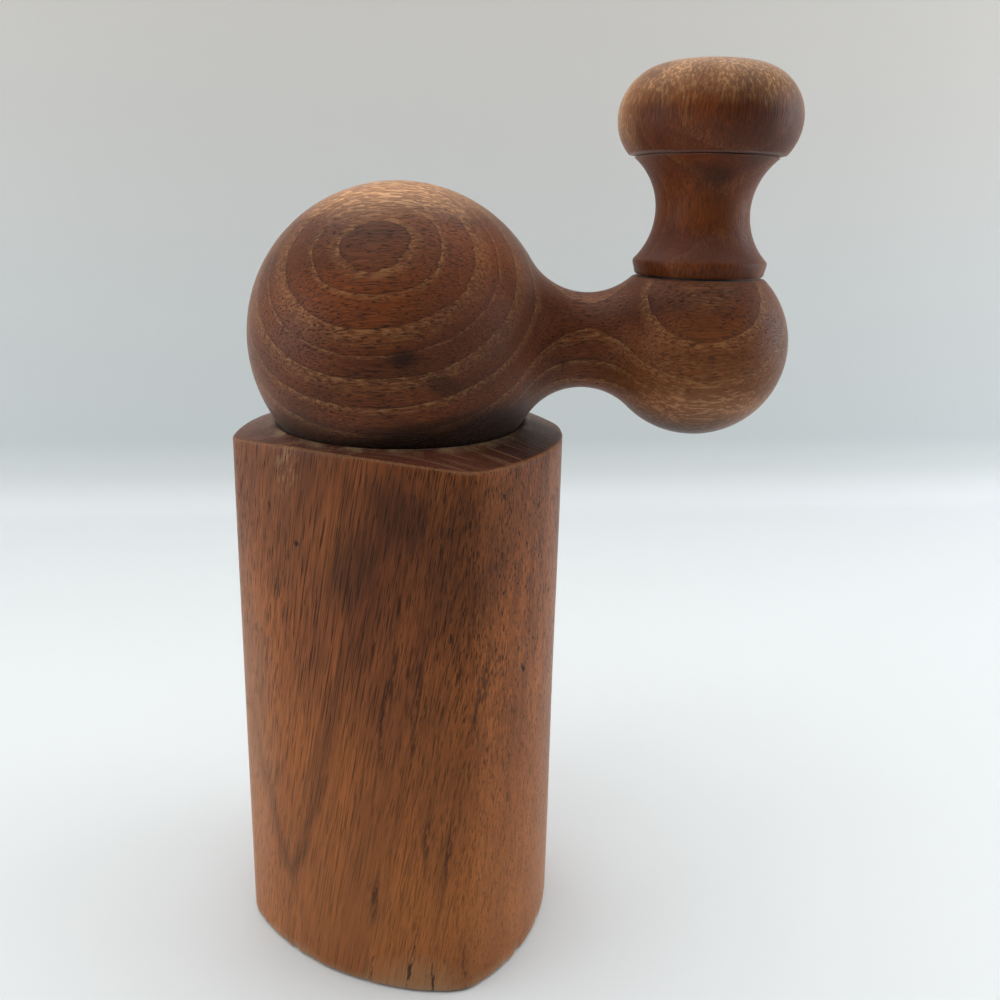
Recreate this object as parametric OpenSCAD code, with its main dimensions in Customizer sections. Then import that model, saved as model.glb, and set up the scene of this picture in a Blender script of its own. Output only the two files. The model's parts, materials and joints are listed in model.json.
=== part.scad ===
// Hand crank pepper mill: a teak block with a ball crank seated in its crown,
// a square drive shaft through the pepper chamber and a steel burr at the base.
// Millimetres, +Z up, origin at the centre of the base, +X along the block's long side.

/* [Body block] */
// Length of the block's outline, along X
body_len = 59.8; // [57:0.1:64]
// Width of the block's outline, along Y
body_wid = 50.7; // [49:0.1:54]
// Radius of the bowed long sides
side_bow_r = 50; // [44:1:80]
// Radius of the bowed short ends
end_bow_r = 34; // [31:0.5:46]
// Radius of the upright corners
corner_r = 8.2; // [6:0.1:13]
// Height of the block at the lip of the ball socket
body_h = 102.6; // [97:0.1:112]
// Fall of the crown from the lip outwards, in degrees
crown_slope = 20; // [10:0.5:24]
// Diameter of the pepper chamber
chamber_d = 28; // [26:0.5:29]
// Width of the ledge around the grinding ring, which carries the bottom bridge
ledge_w = 4; // [3.8:0.05:5]
// Depth of the recess in the base
recess_depth = 9; // [8.5:0.1:12]

/* [Crank head] */
// Diameter of the large ball
ball_d = 54.7; // [53:0.1:57]
// Height of the ball's centre above the socket lip
ball_rise = 15.4; // [14.8:0.1:17]
// Gap between the ball and its socket
socket_gap = 0.3; // [0.2:0.05:0.6]
// Diameter of the small ball that carries the knob
arm_ball_d = 32.9; // [31:0.1:35]
// Distance between the centres of the two balls
arm_len = 53; // [51:0.5:60]
// Least diameter of the neck between the balls
neck_d = 17.2; // [14:0.1:19]
// Angle of the crank at rest, from +X, in degrees
crank_angle = 20.5; // [0:0.5:45]
// Depth of the spigot's end below the socket lip
spigot_depth = 18.6; // [15:0.1:22]
// Height of the flat under the knob, above the small ball's centre
flat_rise = 11.8; // [11:0.1:12.5]

/* [Knob] */
// Diameter of the knob's foot where it meets the crank
foot_d = 22.4; // [20:0.1:23.5]
// Diameter of the flange above the foot
flange_d = 23.4; // [22:0.1:25]
// Height of the flange
flange_h = 2.4; // [1.5:0.1:4]
// Diameter of the waist
waist_d = 16.2; // [13:0.1:18]
// Height of the waist above the foot
waist_h = 11; // [9:0.1:13]
// Diameter of the neck under the cap
neck_top_d = 24.8; // [22:0.1:25.4]
// Height of the groove line above the foot
groove_h = 20; // [18:0.1:23]
// Depth of the groove line
groove_depth = 0.8; // [0.3:0.1:1.2]
// Width of the groove line
groove_w = 0.4; // [0.2:0.05:0.8]
// Diameter of the cap
cap_d = 31; // [29:0.1:33]
// Radius of the cap's rounded edge
cap_edge_r = 8.9; // [8.5:0.1:9.2]
// Height of the cap's widest line above the groove
cap_belt_h = 6.2; // [5.5:0.1:7.5]
// Height of the cap's top above its widest line
cap_dome_h = 9.6; // [9.55:0.05:10.5]

/* [Burr] */
// Outer diameter of the grinding ring
ring_d = 30.9; // [30:0.1:32]
// Height of the grinding ring
ring_h = 14; // [13.5:0.1:17]
// Bore of the grinding ring at its throat
throat_d = 17.7; // [17:0.1:18.5]
// Height of the throat above the ring's lower face
throat_h = 8; // [7:0.1:9]
// Bore of the grinding ring at its mouth, where the pepper enters
mouth_d = 26; // [23:0.1:27]
// Radial gap between the cone and the ring at rest
burr_gap = 0.6; // [0.5:0.05:1]
// Half angle of the cone, in degrees
cone_half_angle = 20.5; // [15:0.5:22]
// Height of the cone's toothed part
cone_h = 12; // [10:0.1:13]
// Height of the cone's lower face above the ring's lower face
cone_lift = 2; // [1.5:0.1:3]
// Number of fine teeth on the grinding ring
ring_teeth = 24; // [12:1:30]
// Number of fine teeth on the grinding cone
cone_teeth = 18; // [10:1:22]
// Number of deep feed flutes, on each of the two
feed_flutes = 6; // [4:1:8]
// Depth of a fine tooth
tooth_depth = 0.8; // [0.4:0.1:1]
// Depth of a feed flute
flute_depth = 1.6; // [1:0.1:1.8]
// Lean of the teeth, in degrees
tooth_lean = 12; // [0:1:20]
// Diameter of the cone's collar
collar_d = 9.6; // [9:0.1:11]
// Height of the cone's collar
collar_h = 4; // [3:0.1:5]

/* [Drive] */
// Width of the square drive shaft
shaft_w = 5; // [4.5:0.1:5.4]
// Depth of the shaft's top end below the ball's centre
shaft_top_drop = 6; // [0:0.5:12]
// Diameter of the pin through the cone's collar and the shaft
pin_d = 1.5; // [1:0.1:2]
// Height of the upper bridge above the base
upper_bridge_z = 42; // [40:0.5:50]
// Thickness of the upper bridge
upper_bridge_t = 3; // [2:0.1:5]
// Width of the rim of the upper bridge
upper_rim_w = 2.5; // [1.5:0.1:3]
// Diameter of the upper bridge's hub
upper_hub_d = 15; // [13.5:0.1:17]
// Width of the spokes of both bridges
spoke_w = 4; // [3:0.1:5]
// Diameter of the guide bush where it turns
bush_d = 10; // [9:0.1:11]
// Diameter of the guide bush's flange
bush_flange_d = 14; // [12:0.1:16]
// Thickness of the guide bush's flange
bush_flange_t = 1.5; // [1:0.1:2.5]
// Height of the guide bush above the upper bridge
bush_rise = 1.5; // [0.5:0.1:3]
// Diameter of the drive plate under the spigot
drive_plate_d = 23; // [20:0.5:25]
// Thickness of the drive plate
drive_plate_t = 1.5; // [1:0.1:2.5]
// Radius at which the two drive plate screws stand
plate_screw_r = 8; // [7.5:0.1:8.5]

/* [Spring] */
// Diameter of the spring wire
wire_d = 1; // [0.6:0.1:1.2]
// Mean diameter of the spring's coil
spring_d = 9; // [8.8:0.1:10]
// Number of turns of the spring
spring_turns = 6; // [4:0.5:7]
// Thickness of the washer under the spring
spring_washer_t = 0.5; // [0.3:0.1:1]
// Outer diameter of the washer under the spring
spring_washer_d = 11; // [10.5:0.1:12]

/* [Grind adjuster] */
// Thickness of the bottom bridge
bridge_t = 1.5; // [1:0.1:2]
// Lap of the bottom bridge's rim under the grinding ring
rim_lap = 0.45; // [0.3:0.05:1]
// Diameter of the bottom bridge's hub
bridge_hub_d = 10; // [8:0.1:11]
// Depth of the hub below the plate of the bottom bridge
bridge_hub_drop = 1.2; // [0.5:0.1:1.5]
// Diameter of the adjusting screw
adjuster_d = 5; // [4:0.1:5]
// Diameter of the adjusting screw's knurled head
adjuster_head_d = 12; // [10:0.1:12.5]
// Height of the adjusting screw's head
adjuster_head_h = 3.5; // [2.5:0.1:3.6]
// Travel of the adjusting screw
grind_travel = 1; // [0.5:0.1:1]
// Number of grooves in the knurled head
knurl_count = 24; // [12:1:36]
// Depth of a groove in the knurled head
knurl_depth = 0.5; // [0.2:0.1:0.8]
// Diameter of the thrust ball
thrust_d = 3.2; // [2.4:0.1:3.4]
// Depth to which the thrust ball sits in the adjusting screw
thrust_seat = 0.8; // [0.5:0.1:1.2]

/* [Fasteners] */
// Number of screws that hold the bottom bridge
bridge_screw_count = 3; // [2:1:4]
// Shank diameter of the small wood screws
wood_screw_d = 2.2; // [1.6:0.1:2.4]
// Head diameter of the small wood screws
wood_screw_head_d = 3.6; // [3:0.1:3.8]
// Length of the small wood screws
wood_screw_len = 9; // [6:0.5:12]
// Shank diameter of the knob's screw
knob_screw_d = 4; // [3:0.1:4.5]
// Head diameter of the knob's screw
knob_screw_head_d = 7.4; // [6:0.1:8]
// Head height of the knob's screw
knob_screw_head_h = 2.5; // [2:0.1:3.2]
// Length of the knob's screw inside the knob
knob_screw_reach = 20; // [12:0.5:26]
// Depth of the screw pocket, measured up from the small ball's lowest point
pocket_depth = 5.4; // [4:0.1:7]
// Diameter of the screw pocket under the small ball
pocket_d = 9.4; // [9:0.1:11]
// Wall of the knob's bush
knob_bush_wall = 0.9; // [0.6:0.1:1.5]
// Diameter of the washer under the knob
knob_washer_d = 18; // [14:0.1:20]
// Thickness of the washer under the knob
knob_washer_t = 0.3; // [0.2:0.05:0.6]
// Thickness of the washer on the knob's screw
screw_washer_t = 0.5; // [0.3:0.1:1]

/* [Clearances] */
// Radial clearance where one piece turns or slides in another
running_gap = 0.05; // [0.03:0.01:0.1]
// Clearance of a pressed or screwed seat
seat_gap = 0.02; // [0.01:0.01:0.04]

/* [Hidden] */

$fn = 96;
eps = 0.01;
teak = "#8c4f2e";
steel = "#b9bcc0";
brass = "#c7a252";

// Heights of the stack on the main axis
ball_r = ball_d / 2;
socket_r = ball_r + socket_gap;
ball_z = body_h + ball_rise;
lip_r = sqrt(socket_r * socket_r - ball_rise * ball_rise);
chamber_r = chamber_d / 2;
ring_r = ring_d / 2;
ring_seat_r = ring_r + running_gap;
recess_r = ring_seat_r + ledge_w;
ring_z = recess_depth;
ring_top = ring_z + ring_h;
cone_z = ring_z + cone_lift;
cone_top = cone_z + cone_h;
collar_top = cone_top + collar_h;
spring_z = collar_top + spring_washer_t;
bush_flange_z = upper_bridge_z - running_gap - bush_flange_t;
spigot_z = body_h - spigot_depth;
drive_plate_z = spigot_z - drive_plate_t;
shaft_top = ball_z - shaft_top_drop;
thrust_z = cone_z - thrust_d / 2 + thrust_d / 4;
shaft_z = thrust_z + thrust_d / 2 + seat_gap;

// Adjusting screw under the thrust ball
adjuster_floor = thrust_z - thrust_d / 2 - seat_gap;
adjuster_tip = adjuster_floor + thrust_seat;
bridge_z = recess_depth - bridge_t;
bridge_hub_z = bridge_z - bridge_hub_drop;
bridge_margin = 0.3;
bridge_outer_r = recess_r - bridge_margin;
bridge_rim_r = ring_r - rim_lap;
bridge_screw_r = (bridge_outer_r + bridge_rim_r) / 2;
adjuster_stop_gap = 0.3;
adjuster_head_top = bridge_hub_z - grind_travel - adjuster_stop_gap;
adjuster_head_z = adjuster_head_top - adjuster_head_h;

// Burr radii: both follow the cone's half angle
cone_fall = tan(cone_half_angle);
throat_r = throat_d / 2;
throat_z = ring_z + throat_h;
ring_foot_r = throat_r + cone_fall * throat_h;
cone_throat_r = throat_r - burr_gap;
cone_foot_r = cone_throat_r + cone_fall * (throat_z - cone_z);
cone_head_r = cone_throat_r - cone_fall * (cone_top - throat_z);
cone_land = 0.8;

// Crank arm: one concave fillet joins the two balls and leaves the neck between them
arm_ball_r = arm_ball_d / 2;
neck_r = neck_d / 2;
fillet_base = (arm_len * arm_len + ball_r * ball_r - arm_ball_r * arm_ball_r) / (2 * arm_len);
fillet_rate = (ball_r - arm_ball_r) / arm_len;
fillet_b = 2 * fillet_base * fillet_rate - 2 * (ball_r - neck_r);
fillet_c = fillet_base * fillet_base - ball_r * ball_r + neck_r * neck_r;
fillet_a = fillet_rate * fillet_rate;
fillet_r = 2 * fillet_c / (-fillet_b + sqrt(fillet_b * fillet_b - 4 * fillet_a * fillet_c));
fillet_at = [neck_r + fillet_r, fillet_base + fillet_rate * fillet_r];

// Knob on the small ball
knob_x = arm_len * cos(crank_angle);
knob_y = arm_len * sin(crank_angle);
flat_z = ball_z + flat_rise;
foot_z = flat_z + knob_washer_t + 2 * running_gap;
pocket_z = ball_z - arm_ball_r + pocket_depth;
knob_bush_r = knob_screw_d / 2 + running_gap + knob_bush_wall;
screw_seat_z = pocket_z - screw_washer_t - 2 * running_gap;
foot_r = foot_d / 2;
flange_r = flange_d / 2;
waist_r = waist_d / 2;
neck_top_r = neck_top_d / 2;
low_cove_r = cove_radius(flange_r - waist_r, waist_h - flange_h);
high_cove_r = cove_radius(neck_top_r - waist_r, groove_h - waist_h);
cap_edge_at = [cap_d / 2 - cap_edge_r, groove_h + cap_belt_h];
dome_gain = cap_edge_at[0] * cap_edge_at[0] + cap_dome_h * cap_dome_h - cap_edge_r * cap_edge_r;
dome_r = dome_gain / (2 * (cap_dome_h - cap_edge_r));
dome_at = [0, cap_edge_at[1] + cap_dome_h - dome_r];
knob_h = groove_h + cap_belt_h + cap_dome_h;
screw_washer_r = pocket_d / 2 - 0.5;

// Block outline: centres of the bowed sides, the bowed ends and the corners
side_at = [0, body_wid / 2 - side_bow_r];
end_at = [body_len / 2 - end_bow_r, 0];
centre_gap = norm(end_at - side_at);
centre_dir = (end_at - side_at) / centre_gap;
side_reach = side_bow_r - corner_r;
end_reach = end_bow_r - corner_r;
along = (side_reach * side_reach - end_reach * end_reach + centre_gap * centre_gap) / (2 * centre_gap);
across = sqrt(side_reach * side_reach - along * along);
corner_at = side_at + along * centre_dir + across * [centre_dir[1], -centre_dir[0]];

// Height of the crown at a distance from the axis
function crown_z(r) = body_h - tan(crown_slope) * (r - lip_r);

// Radius of an arc that is upright at its start and reaches an offset inside a rise
function cove_radius(offset, rise) = (offset * offset + rise * rise) / (2 * offset);

// A point on the far side of q, seen from p
function beyond(p, q, times) = p + times * (q - p);

// A tube of wire_d on a helix, as rings of points; the ends are closed by the first and last ring
spring_sides = 6;
spring_rings_per_turn = 8;
spring_steps = spring_turns * spring_rings_per_turn;
spring_low = spring_z + seat_gap + wire_d / 2;
spring_high = bush_flange_z - seat_gap - wire_d / 2;
spring_pitch = (spring_high - spring_low) / spring_turns;
function spring_point(i, k) =
    let (turn = 360 * i / spring_rings_per_turn)
    let (side = 360 * k / spring_sides)
    let (r = spring_d / 2 + wire_d / 2 * cos(side))
    let (z = spring_low + spring_pitch * i / spring_rings_per_turn + wire_d / 2 * sin(side))
    [r * cos(turn), r * sin(turn), z];
function ring_index(i, k) = i * spring_sides + k % spring_sides;

// Seats of the repeated pieces
module on_knob_axis() {
    translate([knob_x, knob_y, 0]) children();
}

module bridge_screw_places() {
    for (i = [0 : bridge_screw_count - 1])
        rotate(360 * i / bridge_screw_count)
            translate([bridge_screw_r, 0, bridge_z])
                children();
}

module plate_screw_places() {
    for (side = [0, 180])
        rotate(crank_angle + side)
            translate([plate_screw_r, 0, drive_plate_z])
                children();
}

// A screwdriver slot up into a head whose lower face is at z = 0
module driver_slot(head_d, width, depth) {
    translate([-head_d, -width / 2, -eps])
        cube([2 * head_d, width, depth + eps]);
}

module slotted_wood_screw() {
    difference() {
        wood_screw(0);
        driver_slot(wood_screw_head_d, wood_screw_d / 4, wood_screw_head_d / 6);
    }
}

// A countersunk wood screw that points up, its head flush with z = 0, or the hole for it
module wood_screw(grow) {
    head_r = wood_screw_head_d / 2 + grow;
    shank_r = wood_screw_d / 2 + grow;
    rotate_extrude()
        polygon([
            [0, 0], [head_r, 0], [shank_r, head_r - shank_r],
            [shank_r, wood_screw_len - shank_r + grow], [0, wood_screw_len + grow]
        ]);
}

module square_bar(width, low, high) {
    translate([-width / 2, -width / 2, low])
        cube([width, width, high - low]);
}

module spokes(reach, width, turn) {
    for (i = [0 : 2])
        rotate(turn + 120 * i)
            translate([0, -width / 2])
                square([reach, width]);
}

// A ring of V grooves along a cone from (r_low, z_low) to (r_high, z_high); depth is positive outwards
module burr_grooves(count, r_low, z_low, r_high, z_high, depth) {
    run = norm([r_high - r_low, z_high - z_low]);
    tilt = atan2(r_high - r_low, z_high - z_low);
    half_w = abs(depth);
    for (i = [0 : count - 1])
        rotate(360 * i / count)
            translate([(r_low + r_high) / 2, 0, (z_low + z_high) / 2])
                rotate([0, tilt, 0])
                    rotate([tooth_lean, 0, 0])
                        linear_extrude(run, center = true)
                            polygon([[-depth, -half_w], [depth, 0], [-depth, half_w]]);
}

// Outline of the block: bowed sides and ends, with the corners cut back to tangent arcs
module body_outline() {
    side_far = beyond(side_at, corner_at, 2);
    end_far = beyond(end_at, corner_at, 3);
    difference() {
        intersection_for (s = [-1, 1])
            intersection() {
                translate(s * side_at)
                    circle(side_bow_r);
                translate(s * end_at)
                    circle(end_bow_r);
            }
        for (sx = [0, 1], sy = [0, 1])
            mirror([sx, 0])
                mirror([0, sy])
                    difference() {
                        polygon([corner_at, side_far, side_far + end_far - corner_at, end_far]);
                        translate(corner_at)
                            circle(corner_r);
                    }
    }
}

module body_block() {
    crown_reach = body_len;
    color(teak)
        difference() {
            intersection() {
                linear_extrude(body_h)
                    body_outline();
                rotate_extrude()
                    polygon([[0, 0], [crown_reach, 0], [crown_reach, crown_z(crown_reach)], [0, crown_z(0)]]);
            }
            translate([0, 0, ball_z])
                sphere(socket_r);
            translate([0, 0, ring_z])
                cylinder(r = chamber_r, h = ball_z - ring_z);
            translate([0, 0, -eps])
                cylinder(r = ring_seat_r, h = ring_top + seat_gap + eps);
            translate([0, 0, -eps])
                cylinder(r = recess_r, h = recess_depth + eps);
            bridge_screw_places()
                wood_screw(seat_gap);
        }
}

module grinding_ring() {
    mouth_r = mouth_d / 2;
    color(steel)
        difference() {
            rotate_extrude()
                polygon([
                    [ring_foot_r, ring_z], [ring_r, ring_z], [ring_r, ring_top],
                    [mouth_r, ring_top], [throat_r, throat_z]
                ]);
            burr_grooves(ring_teeth, ring_foot_r, ring_z, throat_r, throat_z, tooth_depth);
            burr_grooves(feed_flutes, throat_r, throat_z, mouth_r, ring_top, flute_depth);
        }
}

module bottom_bridge() {
    color(steel)
        difference() {
            union() {
                translate([0, 0, bridge_z])
                    linear_extrude(bridge_t) {
                        difference() {
                            circle(bridge_outer_r);
                            circle(bridge_rim_r);
                        }
                        spokes(bridge_rim_r + eps, spoke_w, 60);
                        circle(bridge_hub_d / 2);
                    }
                translate([0, 0, bridge_hub_z])
                    cylinder(r = bridge_hub_d / 2, h = bridge_hub_drop + bridge_t);
            }
            translate([0, 0, bridge_hub_z - eps])
                cylinder(r = adjuster_d / 2 + running_gap, h = recess_depth);
            bridge_screw_places()
                wood_screw(seat_gap);
        }
}

module bridge_screws() {
    color(brass)
        bridge_screw_places()
            slotted_wood_screw();
}

module upper_bridge() {
    outer_r = chamber_r - seat_gap;
    color(steel)
        translate([0, 0, upper_bridge_z])
            linear_extrude(upper_bridge_t)
                difference() {
                    union() {
                        difference() {
                            circle(outer_r);
                            circle(outer_r - upper_rim_w);
                        }
                        spokes(outer_r - upper_rim_w / 2, spoke_w, 60);
                        circle(upper_hub_d / 2);
                    }
                    circle(bush_d / 2 + running_gap);
                }
}

module guide_bush() {
    color(brass)
        difference() {
            union() {
                translate([0, 0, bush_flange_z])
                    cylinder(r = bush_flange_d / 2, h = bush_flange_t);
                translate([0, 0, bush_flange_z])
                    cylinder(r = bush_d / 2, h = upper_bridge_z + upper_bridge_t + bush_rise - bush_flange_z);
            }
            square_bar(shaft_w + 2 * running_gap, 0, ball_z);
        }
}

module drive_shaft() {
    tip_r = shaft_w / 2;
    color(steel)
        difference() {
            intersection() {
                square_bar(shaft_w, shaft_z, shaft_top);
                rotate_extrude()
                    polygon([
                        [0, shaft_z], [shaft_w, shaft_z], [shaft_w, shaft_top - shaft_w + tip_r],
                        [tip_r, shaft_top], [0, shaft_top]
                    ]);
            }
            cross_pin(pin_d / 2 + seat_gap, 2 * shaft_w);
        }
}

// The pin through the collar and the shaft, or the hole for it
module cross_pin(r, length) {
    translate([0, 0, cone_top + collar_h / 2])
        rotate([0, 90, 0])
            cylinder(r = r, h = length, center = true);
}

module grinding_cone() {
    land_r = cone_foot_r - cone_fall * cone_land;
    color(steel)
        difference() {
            rotate_extrude()
                polygon([
                    [0, cone_z], [cone_foot_r - cone_land, cone_z], [land_r, cone_z + cone_land],
                    [cone_head_r, cone_top], [collar_d / 2, cone_top], [collar_d / 2, collar_top],
                    [0, collar_top]
                ]);
            square_bar(shaft_w + 2 * seat_gap, 0, ball_z);
            burr_grooves(cone_teeth, cone_foot_r, cone_z, cone_throat_r, throat_z, -tooth_depth);
            burr_grooves(feed_flutes, cone_throat_r, throat_z, cone_head_r, cone_top, -flute_depth);
            cross_pin(pin_d / 2 + seat_gap, 2 * collar_d);
        }
}

module cone_pin() {
    color(steel)
        cross_pin(pin_d / 2, collar_d - pin_d / 2);
}

module spring_washer() {
    color(brass)
        translate([0, 0, collar_top])
            linear_extrude(spring_washer_t)
                difference() {
                    circle(spring_washer_d / 2);
                    circle(shaft_w / sqrt(2) + running_gap);
                }
}

module return_spring() {
    points = [for (i = [0 : spring_steps], k = [0 : spring_sides - 1]) spring_point(i, k)];
    sides = [
        for (i = [0 : spring_steps - 1], k = [0 : spring_sides - 1], half = [0, 1])
            half == 0
                ? [ring_index(i, k), ring_index(i + 1, k), ring_index(i + 1, k + 1)]
                : [ring_index(i, k), ring_index(i + 1, k + 1), ring_index(i, k + 1)]
    ];
    first_end = [for (k = [1 : spring_sides - 2]) [0, k, k + 1]];
    last_end = [
        for (k = [1 : spring_sides - 2])
            [ring_index(spring_steps, 0), ring_index(spring_steps, k + 1), ring_index(spring_steps, k)]
    ];
    color(steel)
        polyhedron(points, concat(sides, first_end, last_end));
}

module thrust_ball() {
    color(steel)
        translate([0, 0, thrust_z])
            sphere(thrust_d / 2);
}

module adjusting_screw() {
    head_r = adjuster_head_d / 2;
    color(brass)
        difference() {
            union() {
                translate([0, 0, adjuster_head_z])
                    cylinder(r = head_r, h = adjuster_head_h);
                translate([0, 0, adjuster_head_z])
                    cylinder(r = adjuster_d / 2, h = adjuster_tip - adjuster_head_z);
            }
            translate([0, 0, adjuster_floor])
                cylinder(r = thrust_d / 2 + running_gap, h = thrust_seat + eps);
            for (i = [0 : knurl_count - 1])
                rotate(360 * i / knurl_count)
                    translate([head_r, 0, adjuster_head_z - eps])
                        linear_extrude(adjuster_head_h + 2 * eps)
                            polygon(knurl_depth * [[-1, 0], [1, -1], [1, 1]]);
        }
}

// Half of the turned crank in section: distance from the turning axis, then distance along it
module crank_profile() {
    arm_end = [0, arm_len];
    far = 3 * ball_r;
    ball_far = beyond([0, 0], fillet_at, 2);
    arm_far = beyond(arm_end, fillet_at, 2);
    intersection() {
        circle(ball_r);
        polygon([[0, 0], ball_far, [far, ball_far[1]], [far, -far], [0, -far]]);
    }
    intersection() {
        translate(arm_end)
            circle(arm_ball_r);
        polygon([arm_end, arm_far, [far, arm_far[1]], [far, arm_len + far], [0, arm_len + far]]);
    }
    difference() {
        polygon([[0, 0], fillet_at, arm_end]);
        translate(fillet_at)
            circle(fillet_r);
    }
}

module crank_head() {
    spigot_r = chamber_r - running_gap;
    bore_top = shaft_top + grind_travel + running_gap;
    color(teak)
        difference() {
            union() {
                // The turn about the arm's own axis keeps the seam of the surface clear of spigot and flat
                translate([0, 0, ball_z])
                    rotate([0, 90, crank_angle])
                        rotate(60)
                            rotate_extrude()
                                crank_profile();
                translate([0, 0, spigot_z])
                    cylinder(r = spigot_r, h = ball_z - spigot_z);
            }
            translate([0, 0, spigot_z - eps])
                cylinder(r = shaft_w / sqrt(2) + running_gap, h = bore_top - spigot_z + eps);
            plate_screw_places()
                wood_screw(seat_gap);
            on_knob_axis() {
                translate([0, 0, flat_z])
                    cylinder(r = arm_ball_r, h = arm_ball_r);
                translate([0, 0, pocket_z - arm_ball_r])
                    cylinder(r = pocket_d / 2, h = arm_ball_r);
                translate([0, 0, pocket_z - eps])
                    cylinder(r = knob_bush_r + seat_gap, h = arm_ball_d);
            }
        }
}

module drive_plate() {
    color(steel)
        difference() {
            translate([0, 0, drive_plate_z])
                cylinder(r = drive_plate_d / 2, h = drive_plate_t);
            square_bar(shaft_w + 2 * running_gap, 0, ball_z);
            plate_screw_places()
                wood_screw(seat_gap);
        }
}

module drive_plate_screws() {
    color(brass)
        plate_screw_places()
            slotted_wood_screw();
}

module knob_bush() {
    color(brass)
        on_knob_axis()
            translate([0, 0, pocket_z])
                linear_extrude(flat_z - pocket_z)
                    difference() {
                        circle(knob_bush_r);
                        circle(knob_screw_d / 2 + running_gap);
                    }
}

// Half of the turned knob in section, with its foot at z = 0
module knob_profile() {
    far = 2 * knob_h;
    groove_reach = cap_d / 2;
    groove_rise = groove_reach * groove_w / (2 * groove_depth);
    dome_dir = (cap_edge_at - dome_at) / norm(cap_edge_at - dome_at);
    ray_foot = dome_at + dome_dir * ((groove_h - dome_at[1]) / dome_dir[1]);
    ray_far = cap_edge_at + dome_dir * far;
    difference() {
        union() {
            difference() {
                polygon([[0, 0], [foot_r, 0], [flange_r, flange_h], [neck_top_r, groove_h], [0, groove_h]]);
                intersection() {
                    translate([waist_r + low_cove_r, waist_h])
                        circle(low_cove_r);
                    square([far, waist_h]);
                }
                intersection() {
                    translate([waist_r + high_cove_r, waist_h])
                        circle(high_cove_r);
                    translate([0, waist_h])
                        square([far, far]);
                }
            }
            polygon([[0, groove_h], [cap_edge_at[0], groove_h], cap_edge_at, [0, cap_edge_at[1]]]);
            intersection() {
                translate(dome_at)
                    circle(dome_r);
                polygon([[0, groove_h], ray_foot, ray_far, [0, ray_far[1]]]);
            }
            intersection() {
                translate(cap_edge_at)
                    circle(cap_edge_r);
                polygon([
                    [cap_edge_at[0], groove_h], [far, groove_h], [far, ray_far[1]], ray_far, cap_edge_at
                ]);
            }
        }
        translate([neck_top_r - groove_depth, groove_h])
            polygon([[0, 0], [groove_reach, -groove_rise], [groove_reach, groove_rise]]);
    }
}

module crank_knob() {
    color(teak)
        on_knob_axis()
            translate([0, 0, foot_z])
                difference() {
                    rotate_extrude()
                        knob_profile();
                    translate([0, 0, -eps])
                        cylinder(r = knob_screw_d / 2 + seat_gap, h = knob_screw_reach + seat_gap + eps);
                }
}

module knob_screw() {
    head_z = screw_seat_z - knob_screw_head_h;
    color(steel)
        on_knob_axis()
            difference() {
                union() {
                    translate([0, 0, head_z])
                        cylinder(r = knob_screw_head_d / 2, h = knob_screw_head_h);
                    translate([0, 0, head_z])
                        cylinder(r = knob_screw_d / 2, h = foot_z + knob_screw_reach - head_z);
                }
                translate([0, 0, head_z])
                    driver_slot(knob_screw_head_d, knob_screw_d / 4, knob_screw_head_h / 2);
            }
}

module knob_washer() {
    color(steel)
        on_knob_axis()
            translate([0, 0, flat_z + running_gap])
                linear_extrude(knob_washer_t)
                    difference() {
                        circle(knob_washer_d / 2);
                        circle(knob_screw_d / 2 + seat_gap);
                    }
}

module screw_washer() {
    color(steel)
        on_knob_axis()
            translate([0, 0, screw_seat_z + running_gap])
                linear_extrude(screw_washer_t)
                    difference() {
                        circle(screw_washer_r);
                        circle(knob_screw_d / 2 + seat_gap);
                    }
}

body_block();
grinding_ring();
bottom_bridge();
bridge_screws();
upper_bridge();
guide_bush();
drive_shaft();
grinding_cone();
cone_pin();
spring_washer();
return_spring();
thrust_ball();
adjusting_screw();
crank_head();
drive_plate();
drive_plate_screws();
knob_bush();
crank_knob();
knob_screw();
knob_washer();
screw_washer();
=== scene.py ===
"""Hand crank pepper mill in oiled teak: the looks of the part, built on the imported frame."""
import json
import math

import bmesh
import bpy
from mathutils import Matrix, Vector, noise


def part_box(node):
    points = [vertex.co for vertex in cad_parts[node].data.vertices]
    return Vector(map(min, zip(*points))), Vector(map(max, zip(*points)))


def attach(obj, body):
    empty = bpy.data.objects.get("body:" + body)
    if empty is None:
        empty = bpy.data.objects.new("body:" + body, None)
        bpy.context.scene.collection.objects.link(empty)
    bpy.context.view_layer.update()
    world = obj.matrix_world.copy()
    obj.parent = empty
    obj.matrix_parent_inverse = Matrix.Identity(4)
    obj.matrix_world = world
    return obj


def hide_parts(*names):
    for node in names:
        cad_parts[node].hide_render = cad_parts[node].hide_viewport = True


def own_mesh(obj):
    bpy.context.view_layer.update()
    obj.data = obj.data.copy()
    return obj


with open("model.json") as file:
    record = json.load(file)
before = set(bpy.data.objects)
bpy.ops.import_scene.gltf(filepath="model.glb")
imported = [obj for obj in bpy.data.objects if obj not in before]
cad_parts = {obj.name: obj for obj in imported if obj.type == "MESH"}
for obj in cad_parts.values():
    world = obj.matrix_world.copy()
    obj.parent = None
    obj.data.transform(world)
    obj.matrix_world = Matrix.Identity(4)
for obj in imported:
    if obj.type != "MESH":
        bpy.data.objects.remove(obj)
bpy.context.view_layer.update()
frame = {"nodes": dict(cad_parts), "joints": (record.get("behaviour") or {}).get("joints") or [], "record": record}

MM = 0.001
joints = {j["name"]: j for j in frame["joints"]}

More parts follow.
